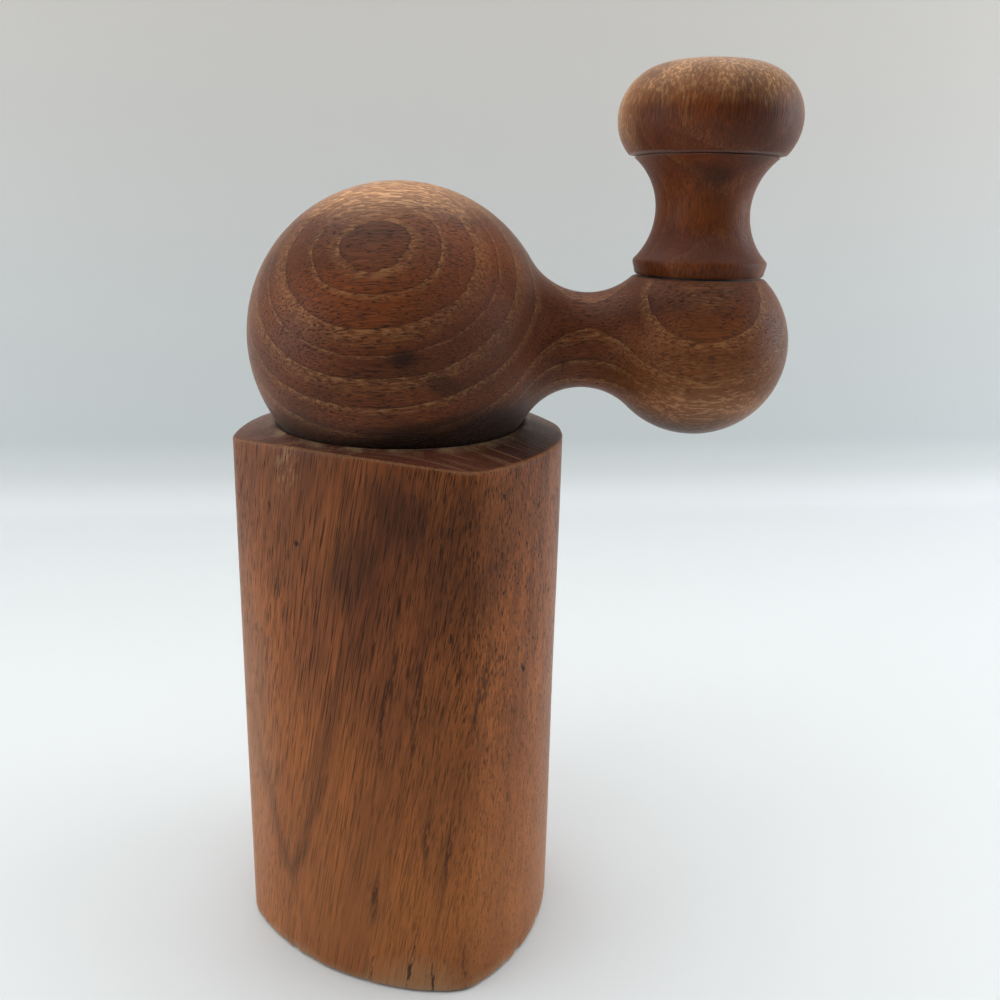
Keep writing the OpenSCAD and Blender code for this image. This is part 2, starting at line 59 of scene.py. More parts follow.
# Sizes from the frame
block_high = Vector(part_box("body_block")[1])
head_low, head_high = (Vector(c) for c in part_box("crank_head"))
knob_low, knob_high = (Vector(c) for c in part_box("crank_knob"))
shaft_high = Vector(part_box("drive_shaft")[1])
screw_high = Vector(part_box("knob_screw")[1])
bush_low, bush_high = (Vector(c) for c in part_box("knob_bush"))
ring_low, ring_high = (Vector(c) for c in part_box("grinding_ring"))
spring_low, spring_high = (Vector(c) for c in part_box("return_spring"))
knob_axis = Vector(joints["knob_spin"]["pos_m"])

HALF_LEN = block_high.x
HALF_WID = block_high.y
LIP_Z = block_high.z
BALL_R = -head_low.x
BALL_Z = head_high.z - BALL_R
ARM_LEN = math.hypot(knob_axis.x, knob_axis.y)
CRANK_TURN = math.atan2(knob_axis.y, knob_axis.x)
ARM_R = head_high.x - knob_axis.x
FLAT_Z = bush_high.z
FOOT_Z = knob_low.z
POCKET_Z = bush_low.z
SPIGOT_Z = head_low.z
FIT_GAP = 0.05 * MM
SEAT_R = ring_high.x + FIT_GAP

# Sizes shared with the solids
SIDE_BOW_R = 50 * MM
END_BOW_R = 34 * MM
CORNER_R = 8.2 * MM
CROWN_SLOPE = math.radians(20)
SOCKET_GAP = 0.3 * MM
CHAMBER_R = 14 * MM
RECESS_R = 19.5 * MM
NECK_R = 8.6 * MM
POCKET_R = 4.7 * MM


def arc(centre, radius, start, end, steps):
    """Points on an arc, as pairs, from one angle to another in degrees."""
    turns = [math.radians(start + (end - start) * i / steps) for i in range(steps + 1)]
    return [(centre[0] + radius * math.cos(a), centre[1] + radius * math.sin(a)) for a in turns]


def finish_mesh(bm, name, sharp_angle=40):
    """A closed mesh object at the origin, smooth apart from its sharp edges."""
    bmesh.ops.remove_doubles(bm, verts=bm.verts, dist=1e-7)
    bmesh.ops.recalc_face_normals(bm, faces=bm.faces)
    mesh = bpy.data.meshes.new(name)
    bm.to_mesh(mesh)
    bm.free()
    mesh.shade_smooth()
    mesh.set_sharp_from_angle(angle=math.radians(sharp_angle))
    piece = bpy.data.objects.new(name, mesh)
    bpy.context.scene.collection.objects.link(piece)
    return piece


def turned(profile, place, steps):
    """A bmesh turned on a lathe: a profile of distance from the axis and distance along it."""
    bm = bmesh.new()
    verts = [bm.verts.new((r, 0, h)) for r, h in profile]
    edges = [bm.edges.new(pair) for pair in zip(verts, verts[1:])]
    bmesh.ops.spin(
        bm, geom=verts + edges, cent=(0, 0, 0), axis=(0, 0, 1), angle=math.tau, steps=steps, use_merge=True
    )
    bmesh.ops.remove_doubles(bm, verts=bm.verts, dist=1e-6)
    bmesh.ops.transform(bm, matrix=place, verts=bm.verts)
    return bm


def cut(piece, tool, operation):
    """Adds or takes away a tool's shape, and drops the tool."""
    change = piece.modifiers.new("cut", "BOOLEAN")
    change.operation = operation
    change.object = tool
    change.solver = "EXACT"
    bpy.context.view_layer.update()
    done = piece.evaluated_get(bpy.context.evaluated_depsgraph_get())
    mesh = bpy.data.meshes.new_from_object(done)
    piece.modifiers.clear()
    old = piece.data
    piece.data = mesh
    mesh.name = piece.name
    bpy.data.meshes.remove(old)
    bpy.data.objects.remove(tool)
    mesh.shade_smooth()
    mesh.set_sharp_from_angle(angle=math.radians(40))


def rod(radius, low, high, at=(0, 0), bevel=0.0):
    """A turned rod between two heights, as a cutting tool or a peg."""
    profile = [(0, low), (radius - bevel, low), (radius, low + bevel), (radius, high), (0, high)]
    bm = turned(profile, Matrix.Translation((at[0], at[1], 0)), 64)
    return finish_mesh(bm, "rod")


# Teak block
def block_corner():
    """Centre of the upright corner arc, tangent inside the bowed side and the bowed end."""
    side = Vector((0, HALF_WID - SIDE_BOW_R))
    end = Vector((HALF_LEN - END_BOW_R, 0))
    gap = (end - side).length
    ahead = (end - side) / gap
    near, far = SIDE_BOW_R - CORNER_R, END_BOW_R - CORNER_R
    along = (near * near - far * far + gap * gap) / (2 * gap)
    across = math.sqrt(near * near - along * along)
    return side, end, side + ahead * along + Vector((ahead.y, -ahead.x)) * across


SIDE_AT, END_AT, CORNER_AT = block_corner()
SIDE_MEETS = CORNER_AT + (CORNER_AT - SIDE_AT).normalized() * CORNER_R
END_MEETS = CORNER_AT + (CORNER_AT - END_AT).normalized() * CORNER_R


def block_reach(turn):
    """Distance from the axis to the block's outline, at an angle."""
    way = Vector((abs(math.cos(turn)), abs(math.sin(turn))))
    slope = math.atan2(way.y, way.x)
    if slope > math.atan2(SIDE_MEETS.y, SIDE_MEETS.x):
        centre, radius = SIDE_AT, SIDE_BOW_R
    elif slope < math.atan2(END_MEETS.y, END_MEETS.x):
        centre, radius = END_AT, END_BOW_R
    else:
        centre, radius = CORNER_AT, CORNER_R
    ahead = centre.dot(way)
    return ahead + math.sqrt(radius * radius - centre.length_squared + ahead * ahead)


LIP_R = math.sqrt((BALL_R + SOCKET_GAP) ** 2 - (BALL_Z - LIP_Z) ** 2)

# Worn wood of the block: unevenness of wall and crown, rounding of the upper and the lower edge
WALL_WAVE = 0.1 * MM
CROWN_WAVE = 0.06 * MM
WAVE_LEN = 35 * MM
RIM_EDGE = 0.32 * MM
FOOT_EDGE = 1.1 * MM
KNOCK_DEPTH = 0.8 * MM
RIM_STRIP = 2.2 * MM
FOOT_STRIP = 2.4 * MM


def crown_height(r):
    """Height of the crown, which falls outwards from the lip."""
    return LIP_Z - math.tan(CROWN_SLOPE) * (r - LIP_R)


def hand_worn(turn, height, size):
    """A slow unevenness of the hand-sanded block, in metres."""
    where = Vector((2.2 * math.cos(turn), 2.2 * math.sin(turn), height / WAVE_LEN))
    return size * noise.noise(where)


def round_ring(radius, height):
    """A true circle about the axis."""
    return lambda turn: (radius, height)


def crown_ring(share, drop=0.0):
    """A ring on the crown: share is how far it lies from the lip to the outline."""
    def place(turn):
        r = LIP_R + share * (block_reach(turn) - LIP_R)
        return r, crown_height(r) - drop + hand_worn(turn, r, CROWN_WAVE)
    return place


def rim_ring(inset, drop):
    """Rounds the block's upper edge: in from the outline and down from the crown."""
    def place(turn):
        r = block_reach(turn)
        wear = 1 + 0.6 * noise.noise(Vector((9 * math.cos(turn), 9 * math.sin(turn), 3.3)))
        height = crown_height(r) - drop * wear
        return r - inset * wear + hand_worn(turn, height, WALL_WAVE), height
    return place


def wall_below_rim(share, foot):
    """A ring of the wall between the foot edge and the rim, which rises and falls with the outline."""
    def place(turn):
        r = block_reach(turn)
        top = crown_height(r) - RIM_STRIP
        height = foot + share * (top - foot)
        return r + hand_worn(turn, height, WALL_WAVE), height
    return place


def foot_ring(inset, height):
    """Rounds the block's lower edge, with small knocks."""
    def place(turn):
        r = block_reach(turn)
        knock = max(0.0, noise.noise(Vector((14 * math.cos(turn), 14 * math.sin(turn), 7.7))) - 0.25)
        return r - inset - knock * KNOCK_DEPTH + hand_worn(turn, height, WALL_WAVE), height
    return place


def block_rings():
    """The block's section, ring by ring: up the chamber, over the crown and down the wall to the base."""
    socket_r = BALL_R + SOCKET_GAP
    low = math.degrees(math.atan2(-math.sqrt(socket_r ** 2 - CHAMBER_R ** 2), CHAMBER_R))
    high = math.degrees(math.atan2(LIP_Z - BALL_Z, LIP_R))
    dish = arc((0, BALL_Z), socket_r, low, high - 0.8, 14)
    edge = RIM_EDGE
    foot = FOOT_EDGE
    rings = [
        round_ring(RECESS_R, 0.0), round_ring(RECESS_R, ring_low.z - edge),
        round_ring(RECESS_R, ring_low.z), round_ring(SEAT_R, ring_low.z),
        round_ring(SEAT_R, ring_high.z + FIT_GAP), round_ring(CHAMBER_R, ring_high.z + FIT_GAP)
    ]
    rings += [round_ring(r, z) for r, z in dish]
    rings += [crown_ring(0.02, 0.12 * MM), crown_ring(0.06)]
    rings += [crown_ring(i / 8) for i in range(1, 8)]
    rings += [rim_ring(edge, -0.1 * MM), rim_ring(edge * 0.3, 0.1 * MM), rim_ring(0.0, edge)]
    rings += [wall_below_rim(1 - i / 36, FOOT_STRIP) for i in range(37)]
    rings += [foot_ring(0.0, foot), foot_ring(foot * 0.12, foot * 0.5), foot_ring(foot * 0.5, foot * 0.12)]
    rings += [foot_ring(foot, 0.0)]
    return rings


def ring_wall(rings, sides):
    """A closed wall through rings about the axis: each is extruded from the one before and put in place."""
    bm = bmesh.new()

    def place(ring, turn):
        r, z = ring(turn)
        return Vector((r * math.cos(turn), r * math.sin(turn), z))

    turns = [math.tau * i / sides for i in range(sides)]
    verts = [bm.verts.new(place(rings[0], turn)) for turn in turns]
    first = [bm.edges.new((verts[i], verts[(i + 1) % sides])) for i in range(sides)]
    edges = first
    for ring in rings[1:]:
        made = bmesh.ops.extrude_edge_only(bm, edges=edges)["geom"]
        fresh = {v for v in made if isinstance(v, bmesh.types.BMVert)}
        edges = [e for e in made if isinstance(e, bmesh.types.BMEdge) and set(e.verts) <= fresh]
        for v in fresh:
            v.co = place(ring, math.atan2(v.co.y, v.co.x))
    bmesh.ops.bridge_loops(bm, edges=first + edges)
    return bm


def make_block():
    """The block: a hollow wall of 320 sides."""
    return finish_mesh(ring_wall(block_rings(), 320), "teak_block", 38)


# Crank, turned from one piece about the arm
def crank_profile():
    """Large ball, concave neck and small ball: distance from the arm's axis and distance along it."""
    base = (ARM_LEN ** 2 + BALL_R ** 2 - ARM_R ** 2) / (2 * ARM_LEN)
    rate = (BALL_R - ARM_R) / ARM_LEN
    b = 2 * base * rate - 2 * (BALL_R - NECK_R)
    c = base ** 2 - BALL_R ** 2 + NECK_R ** 2
    fillet = 2 * c / (-b + math.sqrt(b * b - 4 * rate * rate * c))
    at = (NECK_R + fillet, base + rate * fillet)
    to_ball = math.degrees(math.atan2(at[1], at[0]))
    to_arm = math.degrees(math.atan2(at[1] - ARM_LEN, at[0]))
    profile = arc((0, 0), BALL_R, -90, to_ball, 72)
    profile += arc(at, fillet, 180 + to_ball, 180 + to_arm, 28)[1:]
    profile += arc((0, ARM_LEN), ARM_R, to_arm, 90, 52)[1:]
    return profile


def make_crank():
    """The crank on its side: flat for the knob, spigot, and room for shaft, bush and screw head."""
    swing = Matrix.Rotation(CRANK_TURN, 4, "Z") @ Matrix.Rotation(math.pi / 2, 4, "Y")
    lie = Matrix.Translation((0, 0, BALL_Z)) @ swing
    bm = turned(crank_profile(), lie, 192)
    near = [f for f in bm.faces if (f.calc_center_median().xy - knob_axis.xy).length < ARM_R]
    parts = list({v for f in near for v in f.verts}) + list({e for f in near for e in f.edges}) + near
    bmesh.ops.bisect_plane(bm, geom=parts, plane_co=(0, 0, FLAT_Z), plane_no=(0, 0, 1), clear_outer=True)
    rim = [e for e in bm.edges if e.is_boundary]
    bmesh.ops.holes_fill(bm, edges=rim, sides=0)
    bmesh.ops.bevel(
        bm, geom=[e for e in rim if e.is_valid], offset=0.25 * MM, affect="EDGES", segments=2, profile=0.5,
        material=-1
    )
    crank = finish_mesh(bm, "teak_crank")
    shaft_room = shaft_high.x * math.sqrt(2) + FIT_GAP
    cut(crank, rod(CHAMBER_R - FIT_GAP, SPIGOT_Z, BALL_Z - 0.5 * BALL_R, bevel=0.4 * MM), "UNION")
    bore_top = shaft_high.z + joints["grind_lift"]["range_m"][1] + FIT_GAP
    cut(crank, rod(shaft_room, SPIGOT_Z - 1 * MM, bore_top), "DIFFERENCE")
    cut(crank, rod(POCKET_R, BALL_Z - 2 * ARM_R, POCKET_Z, knob_axis.xy), "DIFFERENCE")
    cut(crank, rod(bush_high.x - knob_axis.x, POCKET_Z - 1 * MM, FLAT_Z + 1 * MM, knob_axis.xy), "DIFFERENCE")
    return crank


# Knob, turned about the screw
FOOT_R = 11.2 * MM
FLANGE_R = 11.7 * MM
FLANGE_H = 2.4 * MM
WAIST_R = 8.1 * MM
WAIST_H = 11 * MM
NECK_TOP_R = 12.4 * MM
GROOVE_H = 20 * MM
GROOVE_DEPTH = 0.8 * MM
CAP_R = 15.5 * MM
CAP_EDGE_R = 8.9 * MM
CAP_BELT_H = 6.2 * MM


def cove(start_r, start_h, end_h, steps):
    """An arc from a rim at one height to the waist, upright there, as radius and height."""
    offset, rise = start_r - WAIST_R, start_h - WAIST_H
    radius = (offset ** 2 + rise ** 2) / (2 * offset)
    swing = math.degrees(math.asin((end_h - WAIST_H) / radius))
    return arc((WAIST_R + radius, WAIST_H), radius, 180 - swing, 180, steps)


def make_knob():
    """The knob, hollow for its screw: foot, flange, cove, groove and cap."""
    top = knob_high.z - FOOT_Z
    hole_r = 2.02 * MM
    hole_top = screw_high.z - FOOT_Z
    edge_at = (CAP_R - CAP_EDGE_R, GROOVE_H + CAP_BELT_H)
    dome_h = top - edge_at[1]
    dome = (edge_at[0] ** 2 + dome_h ** 2 - CAP_EDGE_R ** 2) / (2 * (dome_h - CAP_EDGE_R))
    dome_at = (0, top - dome)
    lean = math.degrees(math.atan2(edge_at[1] - dome_at[1], edge_at[0]))
    cap_from = GROOVE_H + 0.6 * MM
    under = math.degrees(math.asin((cap_from - edge_at[1]) / CAP_EDGE_R))
    soft = 0.3 * MM
    groove_r = NECK_TOP_R - GROOVE_DEPTH
    lip_r = edge_at[0] + CAP_EDGE_R * math.cos(math.radians(under))
    profile = [(0, hole_top), (hole_r, hole_top), (hole_r, 0), (FOOT_R - soft, 0), (FOOT_R, soft)]
    profile += [(FLANGE_R - 0.08 * MM, FLANGE_H - soft)]
    profile += cove(FLANGE_R, FLANGE_H, FLANGE_H + 0.15 * MM, 24)
    profile += cove(NECK_TOP_R, GROOVE_H, GROOVE_H - 0.25 * MM, 24)[-2::-1]
    profile += [(NECK_TOP_R - 0.15 * MM, GROOVE_H - 0.16 * MM)]
    profile += [(groove_r, GROOVE_H - 0.05 * MM), (groove_r, GROOVE_H + 0.1 * MM)]
    profile += [(lip_r - 0.6 * MM, GROOVE_H + 0.3 * MM), (lip_r - 0.15 * MM, cap_from - 0.18 * MM)]
    profile += arc(edge_at, CAP_EDGE_R, under, lean, 44)
    profile += arc(dome_at, dome, lean, 90, 20)[1:-1] + [(0, top)]
    bm = turned(profile, Matrix.Translation((knob_axis.x, knob_axis.y, FOOT_Z)), 160)
    return finish_mesh(bm, "teak_knob")


# Return spring, wound from round wire where its six-sided solid lies
SPRING_TURNS = 6
STEPS_PER_TURN = 32
WIRE_R = 0.5 * MM
WIRE_SOLID_RISE = WIRE_R * math.sin(math.radians(60))


def make_spring():
    """A coil of round wire: a circle spun about the shaft, which climbs as it turns."""
    coil_r = spring_high.x - WIRE_R
    start, end = spring_low.z + WIRE_SOLID_RISE, spring_high.z - WIRE_SOLID_RISE
    steps = SPRING_TURNS * STEPS_PER_TURN
    bm = bmesh.new()
    upright = Matrix.Translation((coil_r, 0, start)) @ Matrix.Rotation(math.pi / 2, 4, "X")
    bmesh.ops.create_circle(bm, segments=12, radius=WIRE_R, matrix=upright)
    bmesh.ops.spin(
        bm, geom=bm.verts[:] + bm.edges[:], cent=(0, 0, 0), axis=(0, 0, 1),
        dvec=(0, 0, (end - start) / steps), angle=SPRING_TURNS * math.tau, steps=steps
    )
    bmesh.ops.holes_fill(bm, edges=[e for e in bm.edges if e.is_boundary], sides=0)
    return finish_mesh(bm, "spring_wire", 60)


# Materials
def linear(code):
    """Linear colour of an sRGB hex value."""
    parts = [int(code[i:i + 2], 16) / 255 for i in (1, 3, 5)]
    return tuple(p / 12.92 if p <= 0.04045 else ((p + 0.055) / 1.055) ** 2.4 for p in parts) + (1.0,)


def add(tree, kind, inputs=None, stops=(), **settings):
    """Adds a node with its settings and a ramp's stops of place and grey, and links or sets its inputs."""
    made = tree.nodes.new("ShaderNode" + kind)
    for key, value in settings.items():
        setattr(made, key, value)
    for key, value in (inputs or {}).items():
        socket = made.inputs[key] if isinstance(key, int) else next(
            s for s in made.inputs if s.enabled and s.name == key
        )
        if isinstance(value, bpy.types.Node):
            value = next(s for s in value.outputs if s.enabled)
        if isinstance(value, bpy.types.NodeSocket):
            tree.links.new(value, socket)
        else:
            socket.default_value = value
    for i, (place, grey) in enumerate(stops):
        elements = made.color_ramp.elements
        stop = elements[i] if i < len(elements) else elements.new(place)
        stop.position, stop.color = place, (grey, grey, grey, 1.0)
    return made


def start_material(name):
    """A new material with its node tree and its shader."""
    material = bpy.data.materials.new(name)
    material.use_nodes = True
    tree = material.node_tree
    tree.nodes.clear()
    shader = add(tree, "BsdfPrincipled")
    add(tree, "OutputMaterial", {"Surface": shader})
    return material, tree, shader


def plug(tree, shader, nodes):
    """Links nodes to a shader's sockets, which are given by name."""
    for socket, node in nodes.items():
        tree.links.new(next(s for s in node.outputs if s.enabled), shader.inputs[socket])


def turn_to(along, outwards):
    """The turn that lays a grain frame: its Z along the fibres, its X out across the growth rings."""
    z = Vector(along).normalized()
    x = (Vector(outwards) - z * Vector(outwards).dot(z)).normalized()
    return Matrix((x, z.cross(x), z)).transposed().to_euler()


def spot(tree, where, at, size, lean=(0.0, 0.0, 0.0)):
    """A soft-edged spot on a piece: 1 at its middle and 0 at its size, with both in mm."""
    local = add(tree, "Mapping", {
        "Vector": where, "Location": [v * MM for v in at], "Rotation": lean, "Scale": [v * MM for v in size]
    }, vector_type="TEXTURE")
    far = add(tree, "VectorMath", {0: local}, operation="LENGTH")
    return add(tree, "MapRange", {"Value": far, "From Min": 1.0, "From Max": 0.35})


def teak(name, fibres, outwards, centre, heart, sway, rings, pore_size, tones, weight, seed, marks):
    """Oiled teak, planed or turned: yearly rings, dark streaks, pores as fine dark dashes, and fibres.

    heart is how far outwards the rings' centre lies, and rings lists each ring's radius about it and the
    share of its year that pale early wood takes, in mm; pore_size is a pore's width and length in mm;
    weight is the strength of the pale bands, the dark lines, the streaks and the pores.
    """
    pale_bands, dark_lines, streaks, porous = weight
    material, tree, shader = start_material(name)
    light, middle, dark, pore = (linear(t) for t in tones)
    place = add(tree, "TexCoord").outputs["Object"]
    grain_frame = add(tree, "Mapping", {
        "Vector": place, "Location": centre, "Rotation": turn_to(fibres, outwards), "Scale": (MM, MM, MM)
    }, vector_type="TEXTURE")
    offset = (seed * 37.0, seed * 71.0, seed * 13.0)
    shifted = add(tree, "VectorMath", {0: grain_frame, 1: offset}, operation="ADD")

    def grain(across, along, detail, rough=0.5, where=shifted):
        """Noise drawn out along the fibres: its grains' width and length in mm."""
        drawn = add(tree, "Mapping", {"Vector": where, "Scale": (1 / across, 1 / across, 1 / along)})
        return add(tree, "TexNoise", {"Vector": drawn, "Scale": 1.0, "Detail": detail, "Roughness": rough})

    # Years: distance from the heart, swayed over 40 mm and rippled over 5 mm
    slow = grain(40, 90, 2.0)
    quick = grain(5, 22, 3.0)
    bent = add(tree, "VectorMath", {
        0: slow.outputs["Color"], 1: (sway, sway, 0.0), 2: grain_frame
    }, operation="MULTIPLY_ADD")
    bent = add(tree, "VectorMath", {
        0: quick.outputs["Color"], 1: (0.9, 0.9, 0.0), 2: bent
    }, operation="MULTIPLY_ADD")
    middling = -sway / 2 - 0.45
    moved = add(tree, "VectorMath", {0: bent, 1: (middling - heart, middling, 0.0)}, operation="ADD")
    axes = add(tree, "SeparateXYZ", {"Vector": moved})
    level = add(tree, "VectorMath", {0: moved, 1: (1.0, 1.0, 0.0)}, operation="MULTIPLY")
    radius = add(tree, "VectorMath", {0: level}, operation="LENGTH")
    first, last = rings[0][0], rings[-1][0]
    count = len(rings) - 1
    share = add(tree, "MapRange", {"Value": radius, "From Min": first, "From Max": last})
    spaced = add(tree, "ValToRGB", {"Fac": share}, [
        ((r - first) / (last - first), i / count) for i, (r, width) in enumerate(rings)
    ])
    years = add(tree, "Math", {0: spaced, 1: float(count)}, operation="MULTIPLY")
    phase = add(tree, "Math", {0: years}, operation="FRACT")
    year = add(tree, "Math", {0: years}, operation="FLOOR")
    which = add(tree, "Math", {0: year, 1: 1 / count, 2: 0.5 / count}, operation="MULTIPLY_ADD")
    widths = add(tree, "ValToRGB", {"Fac": which}, [(i / count, width) for i, (r, width) in enumerate(rings)])
    widths.color_ramp.interpolation = "CONSTANT"

    # Fibres 0.26 mm wide, pores, and dashes of early wood 0.5 mm wide and 2.4 mm long
    fibre = grain(0.26, 7, 2.0, 0.6)
    dash = grain(*pore_size, 1.5)
    stipple = grain(0.5, 2.4, 2.0, 0.6)
    cloud = grain(14, 40, 4.0, 0.55)
    layered = add(tree, "CombineXYZ", {"X": radius, "Y": axes.outputs["Y"], "Z": axes.outputs["Z"]})
    broad = grain(3.2, 60, 3.0, 0.55, layered)
    thin = grain(0.9, 30, 3.0, 0.6, layered)

    past = add(tree, "Math", {0: phase, 1: widths}, operation="DIVIDE")
    band = add(tree, "MapRange", {"Value": past, "To Min": 1.0, "To Max": 0.0})
    late = add(tree, "ValToRGB", {"Fac": phase}, [(0, 0.8), (0.02, 0), (0.75, 0), (0.95, 0.5), (0.99, 1)])
    dots = add(tree, "ValToRGB", {"Fac": stipple}, [(0.5, 0), (0.6, 1)])
    gash = add(tree, "ValToRGB", {"Fac": stipple}, [(0.36, 1), (0.45, 0)])
    tinge = add(tree, "Math", {0: band, 1: 0.35 * pale_bands}, operation="MULTIPLY")
    stippled = add(tree, "Math", {0: band, 1: dots}, operation="MULTIPLY")
    pale = add(tree, "Math", {0: stippled, 1: pale_bands}, operation="MULTIPLY")
    gashed = add(tree, "Math", {0: band, 1: gash}, operation="MULTIPLY")
    torn = add(tree, "Math", {0: gashed, 1: 0.8 * pale_bands}, operation="MULTIPLY")
    pores = add(tree, "ValToRGB", {"Fac": dash}, [(0.57, 0), (0.62, 1)])
    pitted = add(tree, "Math", {0: pores, 1: porous}, operation="MULTIPLY")
    pitted = add(tree, "Math", {0: pitted, 1: torn}, operation="MAXIMUM")

    # Colour: cloudy ground, streaks along the years, dark lines, pale bands, then pores
    cloudy = add(tree, "MapRange", {"Value": cloud, "From Min": 0.34, "From Max": 0.66})
    ground = add(tree, "Mix", {"Factor": cloudy, "A": dark, "B": middle}, data_type="RGBA")
    broad_dark = add(tree, "MapRange", {
        "Value": broad, "From Min": 0.5, "From Max": 0.72, "To Min": 0.0, "To Max": streaks
    })
    thin_dark = add(tree, "MapRange", {
        "Value": thin, "From Min": 0.52, "From Max": 0.68, "To Min": 0.0, "To Max": streaks
    })
    line_dark = add(tree, "Math", {0: late, 1: dark_lines}, operation="MULTIPLY")
    darkest = add(tree, "Math", {0: broad_dark, 1: thin_dark}, operation="MAXIMUM")
    darkest = add(tree, "Math", {0: darkest, 1: line_dark}, operation="MAXIMUM")
    streaked = add(tree, "Mix", {"Factor": darkest, "A": ground, "B": pore}, data_type="RGBA")
    thread = add(tree, "MapRange", {
        "Value": fibre, "From Min": 0.3, "From Max": 0.7, "To Min": 0.62, "To Max": 1.32
    })
    threaded = add(tree, "Mix", {
        "Factor": 1.0, "A": streaked, "B": thread
    }, data_type="RGBA", blend_type="MULTIPLY")
    tinged = add(tree, "Mix", {"Factor": tinge, "A": threaded, "B": light}, data_type="RGBA")
    banded = add(tree, "Mix", {"Factor": pale, "A": tinged, "B": light}, data_type="RGBA")
    colour = add(tree, "Mix", {"Factor": pitted, "A": banded, "B": pore}, data_type="RGBA")
    ragged = add(tree, "VectorMath", {
        0: quick.outputs["Color"], 1: (4 * MM,) * 3, 2: place
    }, operation="MULTIPLY_ADD")
    ragged = add(tree, "VectorMath", {
        0: stipple.outputs["Color"], 1: (1.6 * MM,) * 3, 2: ragged
    }, operation="MULTIPLY_ADD")
    ragged = add(tree, "VectorMath", {0: ragged, 1: (-2.8 * MM,) * 3}, operation="ADD")
    colour, dents = marks(tree, place, ragged, dots, colour)

    # Satin oil finish: pores, pale bands and dents stay dry
    dry = add(tree, "Math", {0: pitted, 1: pale}, operation="ADD")
    gloss = add(tree, "MapRange", {"Value": dry, "To Min": 0.43, "To Max": 0.7})
    relief = add(tree, "Math", {0: pitted, 1: -1.0, 2: dents}, operation="MULTIPLY_ADD")
    relief = add(tree, "Math", {0: fibre, 1: 0.3, 2: relief}, operation="MULTIPLY_ADD")
    relief = add(tree, "Math", {0: pale, 1: 0.5, 2: relief}, operation="MULTIPLY_ADD")
    bump = add(tree, "Bump", {"Height": relief, "Strength": 0.5, "Distance": 0.12 * MM})
    plug(tree, shader, {"Base Color": colour, "Roughness": gloss, "Normal": bump})
    shader.inputs["IOR"].default_value = 1.45
    shader.inputs["Specular IOR Level"].default_value = 0.12
    shader.inputs["Sheen Weight"].default_value = 0.3
    shader.inputs["Sheen Roughness"].default_value = 0.3
    shader.inputs["Sheen Tint"].default_value = linear("#ffe9d8")
    return material


def metal(name, code, rough, grit_mm, along, spread=0.12):
    """A bare metal with fine tool marks: grit_mm is their width, along how far they run in X, Y and Z."""
    material, tree, shader = start_material(name)
    place = add(tree, "TexCoord").outputs["Object"]
    scale = [1 / (grit_mm * MM * length) for length in along]
    drawn = add(tree, "Mapping", {"Vector": place, "Scale": scale})
    scratch = add(tree, "TexNoise", {"Vector": drawn, "Scale": 1.0, "Detail": 3.0})
    blotch = add(tree, "TexNoise", {"Vector": place, "Scale": 1 / (6 * MM), "Detail": 3.0})
    mixed = add(tree, "Math", {0: scratch, 1: blotch}, operation="MULTIPLY")
    gloss = add(tree, "MapRange", {
        "Value": mixed, "From Min": 0.1, "From Max": 0.45, "To Min": rough - spread, "To Max": rough + spread
    })
    colour = linear(code)
    dull = tuple(c * 0.72 for c in colour[:3]) + (1.0,)
    tint = add(tree, "Mix", {"Factor": blotch, "A": dull, "B": colour}, data_type="RGBA")
    bump = add(tree, "Bump", {"Height": scratch, "Strength": 0.25, "Distance": 0.02 * MM})
    plug(tree, shader, {"Base Color": tint, "Roughness": gloss, "Normal": bump})
    shader.inputs["Metallic"].default_value = 1.0
    return material


def stain(tree, colour, code, masks):
    """Colours a wood where masks are, each with its strength, and gives back the colour."""
    for mask, strength in masks:
        share = add(tree, "Math", {0: mask, 1: strength}, operation="MULTIPLY")
        colour = add(tree, "Mix", {"Factor": share, "A": colour, "B": linear(code)}, data_type="RGBA")
    return colour


